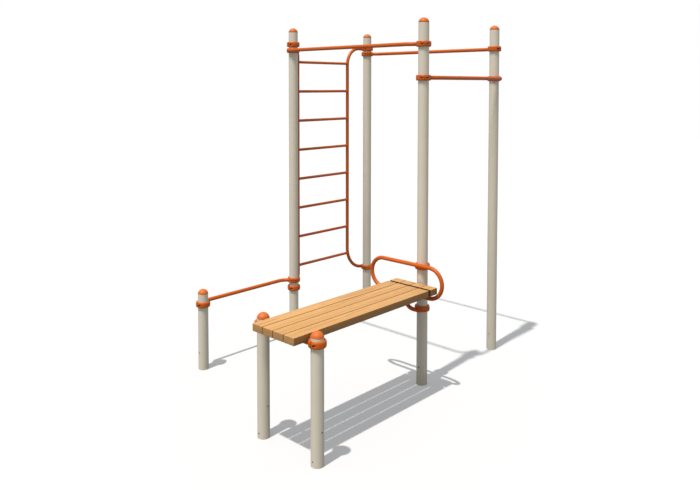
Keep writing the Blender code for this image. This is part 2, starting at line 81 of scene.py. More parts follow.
# Tubes
TUBE_RADIUS = 0.01685
RUNG_RADIUS = 0.01345
BAR_BEND_RADIUS = 0.120
END_PAST_POST = 0.010
TURN_IN_ASIDE = 0.026
LEFT_STILE_RUN = 0.005
RIGHT_STILE_RUN = 0.072
LEFT_STILE_BEND_RADIUS = 0.112
RIGHT_STILE_BEND_RADIUS = 0.176
RIGHT_STILE_FOOT_BEND_RADIUS = 0.238
HANDLE_BEND_RADIUS = 0.125
HANDLE_STRAIGHT = 0.484
STAY_BEND_RADIUS = 0.080
STAY_RUN = 0.046
STAY_TOP_GAP = 0.001
TUBE_AROUND = 40
TUBE_EDGE = 0.0015
RUNG_INSET = TUBE_RADIUS * 0.5
EDGE_POINTS = 4
BEND_STEP = math.radians(4)
HANDLE_ARC_POINTS = 46

# Clamps
GAP = 0.0003
CLAMP_HEIGHT = 0.046
CLAMP_RADIUS = 0.06195
CLAMP_SLIT = 0.004
CLAMP_SHOULDER_IN = 0.0062
CLAMP_SHOULDER_DOWN = 0.0150
CLAMP_BORE_EDGE = 0.0008
CLAMP_END_EDGE = 0.0012
CLAMP_SHOULDER_POINTS = 9
CLAMP_ROUND_POINTS = 45
SIDE_OFFSET = 0.0620
BOLT_OFFSET = 0.05445
POCKET_RADIUS = 0.0075
POCKET_FLOOR = 0.011
POCKET_PIN_END = 0.09
POCKET_AROUND = 32
BOLT_HEAD_RADIUS = 0.0060
BOLT_HEAD_HEIGHT = 0.0060
BOLT_SOCKET_SIZE = 0.0026
BOLT_SOCKET_DEPTH = 0.0035
BOLT_SOCKET_FLARE = 1.08
BOLT_SOCKET_FLATS = 6
BOLT_EDGE = 0.001
BOLT_SMALL_EDGE = 0.0003
BOLT_AROUND = 36

# Welds
WELD_RADIUS = 0.0022
WELD_SINK = 0.0003
WELD_APPROACH = 0.2
WELD_RIPPLE = 0.10
WELD_RIPPLE_TURN = 2.1
WELD_AROUND = 10
WELD_ROUND_POINTS = 72
WELD_ARC_POINTS = 36
NEAR_HALF = (math.radians(99), math.radians(261))

# Boards
BOARD_EDGE = 0.0025
BOARD_ROWS = 4
BOARD_EDGE_POINTS = 5
BOARD_CORNER_POINTS = 6
BOARD_LEAST_EDGE_SHARE = 0.02
# Share of painted light kept by each kind of board face, 1 on top: lower values paint shade onto
# sides, ends and seam walls, and the gap factor paints shade onto the cross gap's faces and edges
SIDE_PAINTED_LIGHT_SHARE = 0.44
END_PAINTED_LIGHT_SHARE = 0.74
SEAM_PAINTED_LIGHT_SHARE = 0.35
END_FACING = 0.7
GAP_EDGE_PAINTED_SHADE = 5.0
END_BLOCK_COUNT_FROM = 11
PITH_STEP = 3.7
PITH_ASIDE = 0.020
PITH_ASIDE_TURN = 2.3
PITH_ASIDE_START = 0.4
PITH_DEPTH = 0.060
PITH_DEPTH_SWING = 0.030
PITH_DEPTH_TURN = 1.7

# Coat and timber
ORANGE_SPECULAR = 0.28
WOOD_SPECULAR = 0.2
WHOLE_SPAN = (0.0, 1.0)
NOISE_SPAN = (0.3, 0.7)
CLOUD_SCALE = 7.0
CLOUD_SPAN = (0.35, 0.65)
SPECK_SCALE = 1400.0
SPECK_SPAN = (0.62, 0.80)
SPECK_SHARE = (0.0, 0.35)
GLOSS_SCALE = 26.0
GLOSS_SWING = (-0.04, 0.05)
RING_DRIFT = 0.006
RING_SHARPNESS = 2.6
RING_RELIEF = 0.5
DRIFT_STRETCH = (1.6, 12.0, 12.0)
FIBRE_STRETCH = (9.0, 520.0, 520.0)
BAND_STRETCH = (0.9, 26.0, 26.0)
FIBRE_SPAN = (0.35, 0.75)
FIBRE_SHARE = 0.30
BAND_DEPTH = (0.0, 0.5)
BAND_SHARE = 0.6
TIMBER_ROUGHNESS = (0.42, 0.60)
TIMBER_RELIEF = 0.0003

# Least angle between faces, in degrees, that shows as an edge
PLAIN_SHARP = 35
METAL_SHARP = 30
CAP_SHARP = 50
BOARD_SHARP = 60

# Camera
CAMERA_PLACE = (-4.38118, -4.09358, 2.47918)
CAMERA_AIM = (0.717779, 0.694655, -0.047403)
CAMERA_LENS = 35.9104
CAMERA_SHIFT_X = 0.02453
CAMERA_SHIFT_Y = -0.18031
CAMERA_REACH = 200.0
SENSOR_WIDTH = 36.0

# Light
FLOOR_SUN_TRAVEL = (0.290, 0.019, -0.957)
FLOOR_SUN_STRENGTH = 6.0
FLOOR_SUN_WIDTH = math.radians(1.2)
STATION_SUN_TRAVEL = (0.450, 0.030, -0.957)
STATION_SUN_STRENGTH = 4.2
STATION_SUN_WIDTH = math.radians(16)
SUN_COLOUR = (1.0, 0.965, 0.93)
SKY_COLOUR = (0.92, 0.98, 1.03, 1.0)
SKY_STRENGTH = 0.62
FLOOR_SIZE = 60.0
FLOOR_LIT_COLOUR = (0.155, 0.165, 0.172, 1.0)
FLOOR_SEEN_COLOUR = (0.335, 0.335, 0.335, 1.0)
FLOOR_GLOW = 0.226
WHITE = (1.0, 1.0, 1.0, 1.0)

# Directions
TO_RIGHT = 0.0
TO_BACK = math.radians(90)
TO_BACK_LEFT = math.radians(135)
TO_LEFT = math.radians(180)
TO_FRONT = math.radians(270)
TO_FRONT_RIGHT = math.radians(315)
X = np.array((1.0, 0.0, 0.0))
Y = np.array((0.0, 1.0, 0.0))
Z = np.array((0.0, 0.0, 1.0))


# Places taken from the model

def node_box(node):
    low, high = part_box(node)
    return np.array(low), np.array(high)


def node_middle(node):
    low, high = node_box(node)
    return (low + high) / 2


def post_foot(node):
    """The middle of a post's lower end."""
    foot = node_middle(node)
    foot[2] = 0.0
    return foot


FRONT_LEFT = post_foot("post_front_left")
FRONT_RIGHT = post_foot("post_front_right")
BACK_LEFT = post_foot("post_back_left")
BACK_RIGHT = post_foot("post_back_right")
LOW_BAR_POST = post_foot("post_low_bar")
LEG_BACK = post_foot("bench_leg_back")
LEG_FRONT = post_foot("bench_leg_front")


def clamp_height(node):
    return node_middle(node)[2]


# Meshes

def grid_faces(rows, columns, wrap_rows=False):
    """Quads between neighbours in a grid numbered row by row, whose columns go round."""
    row = np.arange(rows if wrap_rows else rows - 1)
    row, column = np.meshgrid(row, np.arange(columns), indexing="ij")
    next_row = (row + 1) % rows
    next_column = (column + 1) % columns
    corners = [row * columns + column, row * columns + next_column,
               next_row * columns + next_column, next_row * columns + column]
    return np.stack(corners, axis=-1).reshape(-1, 4)


def round_angles(count):
    return np.arange(count) * 2 * np.pi / count


def rounded_edge(size, count):
    """A quarter circle's points: how far along each one lies, and how far it draws in."""
    turn = np.linspace(0, np.pi / 2, count)
    return size * (1 - np.cos(turn)), size * (1 - np.sin(turn))


def unit(vectors):
    """The vectors, one or a row each, at length 1."""
    return vectors / np.linalg.norm(vectors, axis=-1, keepdims=True)


def read_vectors(items, label):
    """The three numbers under a label of each of a mesh's points or faces."""
    values = np.empty(len(items) * 3)
    items.foreach_get(label, values)
    return values.reshape(-1, 3)


def closed_grid(points, wrap_rows=False):
    """A shell from a grid whose columns go round; its first and last rows get flat ends."""
    rows, columns = points.shape[:2]
    faces = grid_faces(rows, columns, wrap_rows).tolist()
    if not wrap_rows:
        faces.append(list(range(columns))[::-1])
        faces.append(list(range((rows - 1) * columns, rows * columns)))
    return points.reshape(-1, 3), faces


def band(first, second, flip=False):
    """Quads between two rings of point numbers."""
    corners = [first, second, np.roll(second, -1), np.roll(first, -1)]
    if flip:
        corners[1], corners[3] = corners[3], corners[1]
    return np.stack(corners, axis=-1).tolist()


def joined(shells):
    """Several shells as one."""
    points = []
    faces = []
    start = 0
    for shell_points, shell_faces in shells:
        points.append(shell_points)
        faces += [[corner + start for corner in face] for face in shell_faces]
        start += len(shell_points)
    return np.concatenate(points), faces


def moved(shell, place, turn=0.0):
    """The shell turned about Z and moved to a place."""
    points, faces = shell
    cos, sin = math.cos(turn), math.sin(turn)
    spin = np.array(((cos, sin, 0), (-sin, cos, 0), (0, 0, 1)))
    return points @ spin + place, faces


def mesh_of(name, shell, sharp=PLAIN_SHARP):
    points, faces = shell
    mesh = bpy.data.meshes.new(name)
    mesh.from_pydata(points.tolist(), [], faces)
    mesh.validate()
    mesh.shade_smooth()
    mesh.set_sharp_from_angle(angle=math.radians(sharp))
    return mesh


def placed(name, data):
    """A new object in the scene."""
    made = bpy.data.objects.new(name, data)
    bpy.context.scene.collection.objects.link(made)
    return made


def piece(name, shell, material, stands_for=(), sharp=PLAIN_SHARP):
    """A finished piece: at the origin, on the station's one body."""
    mesh = mesh_of(name, shell, sharp)
    mesh.materials.append(material)
    made = placed(name, mesh)
    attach(made, BODY)
    if stands_for:
        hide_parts(*stands_for)
    return made


# Node groups and materials

def new_group(name, inputs, outputs):
    """A node group with sockets of these labels and kinds; given holds its inputs."""
    group = bpy.data.node_groups.new(name, "ShaderNodeTree")
    for side, sockets in (("INPUT", inputs), ("OUTPUT", outputs)):
        for label, kind in sockets.items():
            group.interface.new_socket(label, in_out=side, socket_type="NodeSocket" + kind)
    given = group.nodes.new("NodeGroupInput").outputs
    return group, given, group.nodes.new("NodeGroupOutput")


def feed(tree, socket, value):
    """Links a socket to another node's output, or sets it to a plain value."""
    if isinstance(value, bpy.types.NodeSocket):
        tree.links.new(value, socket)
    else:
        socket.default_value = value


def feed_all(tree, node, values):
    """Feeds a node's sockets by their labels."""
    for label, value in values.items():
        feed(tree, node.inputs[label], value)


def math_node(tree, operation, *values, clamp=False):
    node = tree.nodes.new("ShaderNodeMath")
    node.operation = operation
    node.use_clamp = clamp
    for socket, value in zip(node.inputs, values):
        feed(tree, socket, value)
    return node.outputs[0]


def noise_node(tree, vector, scale, detail=2.0, roughness=0.5):
    node = tree.nodes.new("ShaderNodeTexNoise")
    feed_all(tree, node, {"Vector": vector, "Scale": scale, "Detail": detail,
                          "Roughness": roughness})
    return node.outputs["Fac"]


def stretched(tree, vector, scale):
    node = tree.nodes.new("ShaderNodeMapping")
    feed_all(tree, node, {"Vector": vector, "Scale": scale})
    return node.outputs["Vector"]


def range_node(tree, value, span, to):
    """The value with one span of numbers stretched or squeezed to another."""
    node = tree.nodes.new("ShaderNodeMapRange")
    feed_all(tree, node, {"Value": value, "From Min": span[0], "From Max": span[1],
                          "To Min": to[0], "To Max": to[1]})
    return node.outputs["Result"]


def mix_colours(tree, share, first, second, blend="MIX"):
    """Two colours mixed; the node numbers its colour sockets 6 and 7, and its result 2."""
    node = tree.nodes.new("ShaderNodeMix")
    node.data_type = "RGBA"
    node.blend_type = blend
    for number, value in ((0, share), (6, first), (7, second)):
        feed(tree, node.inputs[number], value)
    return node.outputs[2]


def make_coat_group():
    """Baked paint: faint cloudy tone, uneven gloss and a fine orange-peel skin."""
    group, given, end = new_group(
        "baked_coat",
        {"Vector": "Vector", "Colour": "Color", "Thin colour": "Color", "Tone share": "Float",
         "Roughness": "Float", "Peel scale": "Float"},
        {"Colour": "Color", "Roughness": "Float", "Peel": "Float"})
    place = given["Vector"]
    cloud = noise_node(group, place, CLOUD_SCALE, detail=3.0)
    speck = noise_node(group, place, SPECK_SCALE, detail=1.0)
    cloud = range_node(group, cloud, CLOUD_SPAN, WHOLE_SPAN)
    speck = range_node(group, speck, SPECK_SPAN, SPECK_SHARE)
    share = math_node(group, "MULTIPLY", cloud, given["Tone share"])
    share = math_node(group, "ADD", share, speck, clamp=True)
    colour = mix_colours(group, share, given["Colour"], given["Thin colour"])
    gloss = noise_node(group, place, GLOSS_SCALE, detail=3.0)
    gloss = range_node(group, gloss, NOISE_SPAN, GLOSS_SWING)
    rough = math_node(group, "ADD", given["Roughness"], gloss)
    peel = noise_node(group, place, given["Peel scale"], detail=1.5, roughness=0.4)
    feed_all(group, end, {"Colour": colour, "Roughness": rough, "Peel": peel})
    return group


def growth_rings(group, place, spacing):
    """From 0 to 1 across each ring: fract((length of (y, z) + drift) / spacing) ^ p."""
    drift = noise_node(group, stretched(group, place, DRIFT_STRETCH), 1.0, detail=3.0)
    drift = range_node(group, drift, WHOLE_SPAN, (-RING_DRIFT, RING_DRIFT))
    across = group.nodes.new("ShaderNodeVectorMath")
    across.operation = "LENGTH"
    group.links.new(stretched(group, place, (0.0, 1.0, 1.0)), across.inputs[0])
    radius = math_node(group, "ADD", across.outputs["Value"], drift)
    turns = math_node(group, "DIVIDE", radius, spacing)
    return math_node(group, "POWER", math_node(group, "FRACT", turns), RING_SHARPNESS)


def make_timber_group():
    """Sawn timber: growth rings about a pith line, fibres along X and broad tone bands.

    The vector is a board's own place, measured from its pith, so rings show as arcs on
    the ends and as long streaks on the faces. The share of painted light is 1 on the tops
    and lower on the ends, sides and seam walls, down to 0 in the cross gap, where the colour
    is tinted towards the shaded tint as painted shade.
    """
    group, given, end = new_group(
        "sawn_timber",
        {"Vector": "Vector", "Early wood": "Color", "Late wood": "Color",
         "Shaded tint": "Color", "Ring spacing": "Float", "Ring share": "Float",
         "Open share": "Float"},
        {"Colour": "Color", "Roughness": "Float", "Relief": "Float"})
    place = given["Vector"]
    ring = growth_rings(group, place, given["Ring spacing"])
    fibre = noise_node(group, stretched(group, place, FIBRE_STRETCH), 1.0)
    fibre_mask = range_node(group, fibre, FIBRE_SPAN, WHOLE_SPAN)
    bands = noise_node(group, stretched(group, place, BAND_STRETCH), 1.0)
    bands = range_node(group, bands, NOISE_SPAN, BAND_DEPTH)
    fibre_dark = math_node(group, "MULTIPLY", fibre_mask, FIBRE_SHARE)
    band_dark = math_node(group, "MULTIPLY", bands, BAND_SHARE)
    dark = math_node(group, "MULTIPLY", ring, given["Ring share"])
    dark = math_node(group, "ADD", dark, fibre_dark)
    dark = math_node(group, "ADD", dark, band_dark, clamp=True)
    colour = mix_colours(group, dark, given["Early wood"], given["Late wood"])
    # Painted shade: where the share of painted light is low, the colour is multiplied towards the
    # shaded tint
    tint = mix_colours(group, given["Open share"], given["Shaded tint"], WHITE)
    colour = mix_colours(group, 1.0, colour, tint, "MULTIPLY")
    rough = range_node(group, dark, WHOLE_SPAN, TIMBER_ROUGHNESS)
    relief = math_node(group, "ADD", fibre, math_node(group, "MULTIPLY", ring, -RING_RELIEF))
    feed_all(group, end, {"Colour": colour, "Roughness": rough, "Relief": relief})
    return group


def new_material(name):
    made = bpy.data.materials.new(name)
    made.use_nodes = True
    tree = made.node_tree
    return made, tree, tree.nodes["Principled BSDF"]


def bump(tree, height, distance):
    node = tree.nodes.new("ShaderNodeBump")
    feed_all(tree, node, {"Height": height, "Distance": distance})
    return node.outputs["Normal"]


def coat_material(name, group, colour, thin, tone, rough, peel, depth, specular=0.5, metal=0.0):
    """A material from the coat's group; thin is its colour where the coat lies thin."""
    made, tree, shader = new_material(name)
    coat = tree.nodes.new("ShaderNodeGroup")
    coat.node_tree = group
    place = tree.nodes.new("ShaderNodeTexCoord").outputs["Object"]
    feed_all(tree, coat, {"Vector": place, "Colour": (*colour, 1.0), "Thin colour": (*thin, 1.0),
                          "Tone share": tone, "Roughness": rough, "Peel scale": peel})
    feed_all(tree, shader, {"Base Color": coat.outputs["Colour"],
                            "Roughness": coat.outputs["Roughness"],
                            "Specular IOR Level": specular, "Metallic": metal,
                            "Normal": bump(tree, coat.outputs["Peel"], depth)})
    return made


def timber_material(name, group):
    """A material from the timber's group, fed by each board's own two attributes."""
    made, tree, shader = new_material(name)
    grain = tree.nodes.new("ShaderNodeGroup")
    grain.node_tree = group
    own_place = tree.nodes.new("ShaderNodeAttribute")
    own_place.attribute_name = "from_pith"
    # Each face's share of painted light; where it is low, the shaded tint paints shade onto
    # sides, seams and the cross gap
    open_share = tree.nodes.new("ShaderNodeAttribute")
    open_share.attribute_name = "open_share"
    feed_all(tree, grain, {"Vector": own_place.outputs["Vector"],
                           "Open share": open_share.outputs["Fac"],
                           "Early wood": (0.60, 0.331, 0.124, 1.0),
                           "Late wood": (0.345, 0.169, 0.054, 1.0),
                           "Shaded tint": (0.13, 0.085, 0.045, 1.0),
                           "Ring spacing": 0.0075, "Ring share": 0.45})
    feed_all(tree, shader, {"Base Color": grain.outputs["Colour"],
                            "Roughness": grain.outputs["Roughness"],
                            "Specular IOR Level": WOOD_SPECULAR,
                            "Normal": bump(tree, grain.outputs["Relief"], TIMBER_RELIEF)})
    return made


def make_materials():
    coat = make_coat_group()
    return {
        "post": coat_material(
            "beige_powder_coat", coat, colour=(0.585, 0.522, 0.415), thin=(0.545, 0.485, 0.380),
            tone=0.35, rough=0.40, peel=420.0, depth=0.00006),
        "orange": coat_material(
            "orange_powder_coat", coat, colour=(0.50, 0.092, 0.0025), thin=(0.43, 0.070, 0.0015),
            tone=0.30, rough=0.40, peel=520.0, depth=0.00005, specular=ORANGE_SPECULAR),
        "cap": coat_material(
            "orange_cap_plastic", coat, colour=(0.56, 0.126, 0.017), thin=(0.50, 0.106, 0.012),
            tone=0.20, rough=0.46, peel=900.0, depth=0.00001, specular=ORANGE_SPECULAR),
        "bolt": coat_material(
            "dark_bolt_steel", coat, colour=(0.11, 0.085, 0.07), thin=(0.06, 0.045, 0.04),
            tone=0.6, rough=0.42, peel=1500.0, depth=0.00002, metal=1.0),
        "board": timber_material("oiled_timber", make_timber_group()),
    }


MATERIALS = make_materials()


def orange_piece(kind, node, shell):
    """A painted metal piece of some kind that stands for one node."""
    piece(kind + node, shell, MATERIALS["orange"], [node], METAL_SHARP)


# Posts with bored anchor holes

def hole_patch(heights, hole):
    """The square of grid cells that a hole takes up: the cells' numbers and its edge's."""
    middle_height, direction = hole
    first_row = int(np.argmin(np.abs(heights - (middle_height - HOLE_PATCH_RISE))))
    first_column = int(round(direction / (2 * np.pi) * POST_AROUND)) - HOLE_PATCH_CELLS // 2
    step = np.arange(HOLE_PATCH_CELLS)
    cells = (first_row + step)[:, None] * POST_AROUND + (first_column + step) % POST_AROUND
    return cells.ravel(), square_edge(first_row, first_column)


def hole_rings(outer, radius, hole):
    """A ring of points on the hole's circle, and one between it and the patch's edge."""
    middle_height, direction = hole
    spread = np.arctan2(outer[:, 1], outer[:, 0]) - direction
    spread = (spread + np.pi) % (2 * np.pi) - np.pi
    way = np.arctan2(outer[:, 2] - middle_height, spread * POST_RADIUS)
    turn = direction + np.arcsin(ANCHOR_HOLE_RADIUS * np.cos(way) / radius)
    rim = np.stack([radius * np.cos(turn), radius * np.sin(turn),
                    middle_height + ANCHOR_HOLE_RADIUS * np.sin(way)], axis=-1)
    between = rim * HOLE_RING_SHARE + outer * (1 - HOLE_RING_SHARE)
    between[:, :2] *= radius / np.hypot(between[:, 0], between[:, 1])[:, None]
    return [rim, between]


def pierced_wall(radius, heights, holes, inward):
    """A round wall, r(a, z) = (R cos a, R sin a, z), with round holes through it.

    Near a hole the grid gives way to a patch of spokes: each spoke runs from the hole's
    circle to the patch's square edge. Returns the shell and the holes' rims as indices.
    """
    angle_grid, height_grid = np.meshgrid(round_angles(POST_AROUND), heights)
    points = np.stack([radius * np.cos(angle_grid), radius * np.sin(angle_grid),
                       height_grid], axis=-1).reshape(-1, 3)
    quads = grid_faces(len(heights), POST_AROUND)
    keep = np.ones(len(quads), bool)
    runs = [points]
    spokes = []
    rims = []
    count = len(points)
    for hole in holes:
        cells, edge = hole_patch(heights, hole)
        keep[cells] = False
        runs += hole_rings(points[edge], radius, hole)
        rim = count + np.arange(len(edge))
        spokes += band(rim, rim + len(edge)) + band(rim + len(edge), edge)
        rims.append(rim)
        count += 2 * len(edge)
    faces = quads[keep].tolist() + spokes
    if inward:
        faces = [face[::-1] for face in faces]
    return np.concatenate(runs), faces, rims


def square_edge(first_row, first_column):
    """Indices round a square patch of the grid, counter-clockwise seen from outside."""
    size = HOLE_PATCH_CELLS
    step = np.arange(size)
    row = np.concatenate([0 * step, step, 0 * step + size, size - step]) + first_row
    column = np.concatenate([step, 0 * step + size, size - step, 0 * step]) + first_column
    return row * POST_AROUND + column % POST_AROUND


def without_loose_points(points, faces):
    used = np.zeros(len(points), bool)
    for face in faces:
        used[face] = True
    number = np.cumsum(used) - 1
    return points[used], [number[face].tolist() for face in faces]


def post_shell(height, holes):
    """Outer and inner pierced walls, joined by the holes' bores and by two end rings."""
    marks = [0.0, POST_EDGE, height - POST_EDGE, height]
    for middle_height in sorted({spot for spot, _ in holes}):
        marks += list(np.linspace(middle_height - HOLE_PATCH_RISE,
                                  middle_height + HOLE_PATCH_RISE, HOLE_PATCH_CELLS + 1))
    heights = np.array(sorted(marks))
    outer, outer_faces, outer_rims = pierced_wall(POST_RADIUS, heights, holes, False)
    inner, inner_faces, inner_rims = pierced_wall(POST_RADIUS - POST_WALL, heights, holes, True)
    low_ring = np.arange(POST_AROUND)
    high_ring = low_ring + (len(heights) - 1) * POST_AROUND
    for ring in (low_ring, high_ring):
        outer[ring, :2] *= 1 - POST_EDGE / POST_RADIUS
    points, faces = joined([(outer, outer_faces), (inner, inner_faces)])
    start = len(outer)
    for outer_rim, inner_rim in zip(outer_rims, inner_rims):
        faces += band(outer_rim, start + inner_rim, flip=True)
    faces += band(low_ring, start + low_ring)
    faces += band(high_ring, start + high_ring, flip=True)
    return without_loose_points(points, faces)


def cap_shell():
    """A turned dome over a rim, a neck and a plug.

    The dome is r(t) = R sin t and z(t) = rim + rise (cos t) ^ p.
    """
    turn = np.linspace(0, np.pi / 2, CAP_DOME_ROWS)[1:]
    dome_r = CAP_DOME_RADIUS * np.sin(turn)
    dome_z = CAP_RIM + (CAP_RISE - CAP_RIM) * np.maximum(np.cos(turn), 0) ** CAP_DOME_POWER
    lip = POST_RADIUS + CAP_LIP
    plug = POST_RADIUS - POST_WALL - GAP
    below = np.array((
        (CAP_DOME_RADIUS + CAP_CREASE, CAP_RIM - CAP_CREASE / 2),
        (lip - CAP_CREASE, CAP_RIM - CAP_CREASE / 2),
        (lip, CAP_RIM - CAP_CREASE * 3 / 2),
        (lip, CAP_NECK_RISE + CAP_CREASE),
        (lip - CAP_CREASE, CAP_NECK_RISE),
        (CAP_NECK_RADIUS, CAP_NECK_RISE),
        (CAP_NECK_RADIUS, GAP),
        (plug, GAP),
        (plug, CAP_PLUG_EDGE - CAP_PLUG),
        (plug - CAP_PLUG_EDGE, -CAP_PLUG)))
    profile = np.concatenate([np.column_stack([dome_r, dome_z]), below])
    return turned(profile, CAP_RISE, -CAP_PLUG, CAP_AROUND)


def turned(profile, top, bottom, around):
    """A profile of (r, z), from the top down, turned about Z and closed by two poles."""
    angles = round_angles(around)
    ring = np.stack([np.cos(angles), np.sin(angles), 0 * angles], axis=-1)
    radii, heights = profile[::-1].T
    points = ring[None] * radii[:, None, None] + Z * heights[:, None, None]
    rows = len(profile)
    faces = grid_faces(rows, around).tolist()
    points = np.concatenate([points.reshape(-1, 3), [[0, 0, bottom], [0, 0, top]]])
    low_pole, high_pole = rows * around, rows * around + 1
    column = np.arange(around)
    following = np.roll(column, -1)
    last = (rows - 1) * around
    faces += np.stack([following, column, 0 * column + low_pole], axis=-1).tolist()
    faces += np.stack([last + column, last + following, 0 * column + high_pole],
                      axis=-1).tolist()
    return points, faces


def make_posts():
    cap = cap_shell()
    for node in ("post_front_left", "post_front_right", "post_back_left", "post_back_right",
                 "post_low_bar", "bench_leg_back", "bench_leg_front"):
        foot = post_foot(node)
        height = node_box(node)[1][2]
        if node.startswith("bench_leg"):
            holes = [(LEG_LOWER_HOLE_HEIGHT, 0.0), (LEG_LOWER_HOLE_HEIGHT, np.pi),
                     (LEG_UPPER_HOLE_HEIGHT, np.pi / 2), (LEG_UPPER_HOLE_HEIGHT, 3 * np.pi / 2)]
        else:
            holes = [(POST_HOLE_HEIGHT, 0.0), (POST_HOLE_HEIGHT, np.pi)]
        shell = moved(post_shell(height, holes), foot)
        piece("tube_" + node, shell, MATERIALS["post"], [node])
        short = node.removeprefix("post_").removeprefix("bench_")
        piece("dome_" + short, moved(cap, foot + Z * height), MATERIALS["cap"],
              ["cap_" + short], CAP_SHARP)


# Tubes

def rounded_path(corners, *radii):
    """Points along a path whose inner corners are arcs, each with its own radius."""
    corners = np.array(corners)
    runs = [corners[:1]]
    for before, corner, after, radius in zip(corners, corners[1:], corners[2:], radii):
        arriving = unit(corner - before)
        leaving = unit(after - corner)
        angle = math.acos(float(np.clip(arriving @ leaving, -1, 1)))
        start = corner - arriving * radius * math.tan(angle / 2)
        inward = unit(leaving - arriving * math.cos(angle))
        turn = np.linspace(0, angle, math.ceil(angle / BEND_STEP) + 1)[:, None]
        centre = start + inward * radius
        runs.append(centre - inward * radius * np.cos(turn) + arriving * radius * np.sin(turn))
    return np.concatenate(runs + [corners[-1:]])


def tangents(path, closed):
    if closed:
        ahead = unit(np.roll(path, -1, axis=0) - path)
        return unit(ahead + np.roll(ahead, 1, axis=0))
    ahead = unit(np.diff(path, axis=0))
    return unit(np.concatenate([ahead[:1], ahead[:-1] + ahead[1:], ahead[-1:]]))


def ring_rows(path, radius, first, second, around):
    """Circles round a path's points: p + r (cos a u + sin a v); r may change along it."""
    angle = round_angles(around)[:, None]
    radius = np.broadcast_to(radius, len(path))[:, None, None]
    circle = np.cos(angle) * first[:, None] + np.sin(angle) * second[:, None]
    return path[:, None] + radius * circle


def tube_rows(path, radius, normal, closed=False, around=TUBE_AROUND):
    """A tube along a flat path: its circles' u is the plane's normal n, and v is t x n."""
    crosswise = np.cross(tangents(path, closed), normal)
    return ring_rows(path, radius, np.broadcast_to(normal, path.shape), crosswise, around)


def eased_ends(path, radius, at_end=True):
    """Extra points and smaller radii at a tube's ends, so that their edges are rounded."""
    along, less = rounded_edge(TUBE_EDGE, EDGE_POINTS)
    way = unit(path[1] - path[0])
    points = np.concatenate([path[0] + way * along[:, None], path[1:]])
    radii = np.concatenate([radius - less, np.full(len(path) - 1, radius)])
    if at_end:
        way = unit(path[-2] - path[-1])
        points = np.concatenate([points[:-1], (path[-1] + way * along[:, None])[::-1]])
        radii = np.concatenate([radii[:-1], (radius - less)[::-1]])
    return points, radii


def reach_to_cylinder(spots, ways, centre, axis, radius):
    """How far each spot has to go along its way until it lies on a cylinder."""
    across = spots - centre
    across = across - (across @ axis)[:, None] * axis
    flat_ways = ways - (ways @ axis)[:, None] * axis
    a = (flat_ways ** 2).sum(axis=1)
    b = (across * flat_ways).sum(axis=1)
    c = (across ** 2).sum(axis=1) - radius ** 2
    return ((-b - np.sqrt(np.maximum(b * b - a * c, 0))) / a)[:, None]


def meet_cylinder(rows, centre, axis, radius, last=True):
    """Slides the end ring's points along the tube until they lie on a cylinder."""
    end, before = (-1, -2) if last else (0, 1)
    way = unit(rows[end] - rows[before])
    rows[end] += way * reach_to_cylinder(rows[end], way, centre, axis, radius)
    return rows


def weld_bead(start, way, tube_radius, centre, axis, radius, sides, arc=None):
    """A rippled bead where a straight tube meets a cylinder.

    For each angle round the tube, the line along its wall is followed to the cylinder:
    the bead's path joins these points. An arc, its first and last angle, stands for the
    whole round where the tube misses a part of the cylinder.
    """
    first, second = sides
    if arc is None:
        angle = np.linspace(0, 2 * np.pi, WELD_ROUND_POINTS, endpoint=False)
    else:
        angle = np.linspace(*arc, WELD_ARC_POINTS)
    wall = start + tube_radius * (np.cos(angle)[:, None] * first
                                  + np.sin(angle)[:, None] * second)
    ways = np.broadcast_to(way, wall.shape)
    path = wall + way * reach_to_cylinder(wall, ways, centre, axis, radius - WELD_SINK)
    return bead_along(path, closed=arc is None)


def clamp_weld(start, way, post, sides, arc=None):
    """The bead where a tube meets the clamp on a post."""
    return weld_bead(start, way, TUBE_RADIUS, post, Z, CLAMP_RADIUS, sides, arc)


def bead_along(path, closed):
    """A bead along a free path, thicker and thinner in turn."""
    direction = tangents(path, closed)
    outward = path - path.mean(axis=0)
    outward = unit(outward - (outward * direction).sum(axis=1, keepdims=True) * direction)
    side = np.cross(direction, outward)
    ripple = WELD_RADIUS * (1 + WELD_RIPPLE * np.sin(np.arange(len(path)) * WELD_RIPPLE_TURN))
    return closed_grid(ring_rows(path, ripple, outward, side, WELD_AROUND), wrap_rows=closed)


# Clamps

def clamp_profile(draw):
    """A clamp's cross-section (r, z) as a loop: rounded shoulders outside, small edges inside.

    It is drawn in by a length towards its middle, for the rounded slit edges.
    """
    half = CLAMP_HEIGHT / 2
    inner = POST_RADIUS + GAP
    edge = CLAMP_BORE_EDGE
    turn = np.linspace(0, np.pi / 2, CLAMP_SHOULDER_POINTS)
    shoulder_r = CLAMP_RADIUS - CLAMP_SHOULDER_IN * (1 - np.sin(turn))
    shoulder_z = half - CLAMP_SHOULDER_DOWN * (1 - np.cos(turn))
    r = np.concatenate([[inner, inner, inner + edge], shoulder_r, shoulder_r[::-1],
                        [inner + edge]])
    z = np.concatenate([[edge - half, half - edge, half], shoulder_z, -shoulder_z[::-1],
                        [-half]])
    middle_r = (inner + CLAMP_RADIUS) / 2
    width = (CLAMP_RADIUS - inner) / 2
    return middle_r + (r - middle_r) * (1 - draw / width), z * (1 - draw / half)


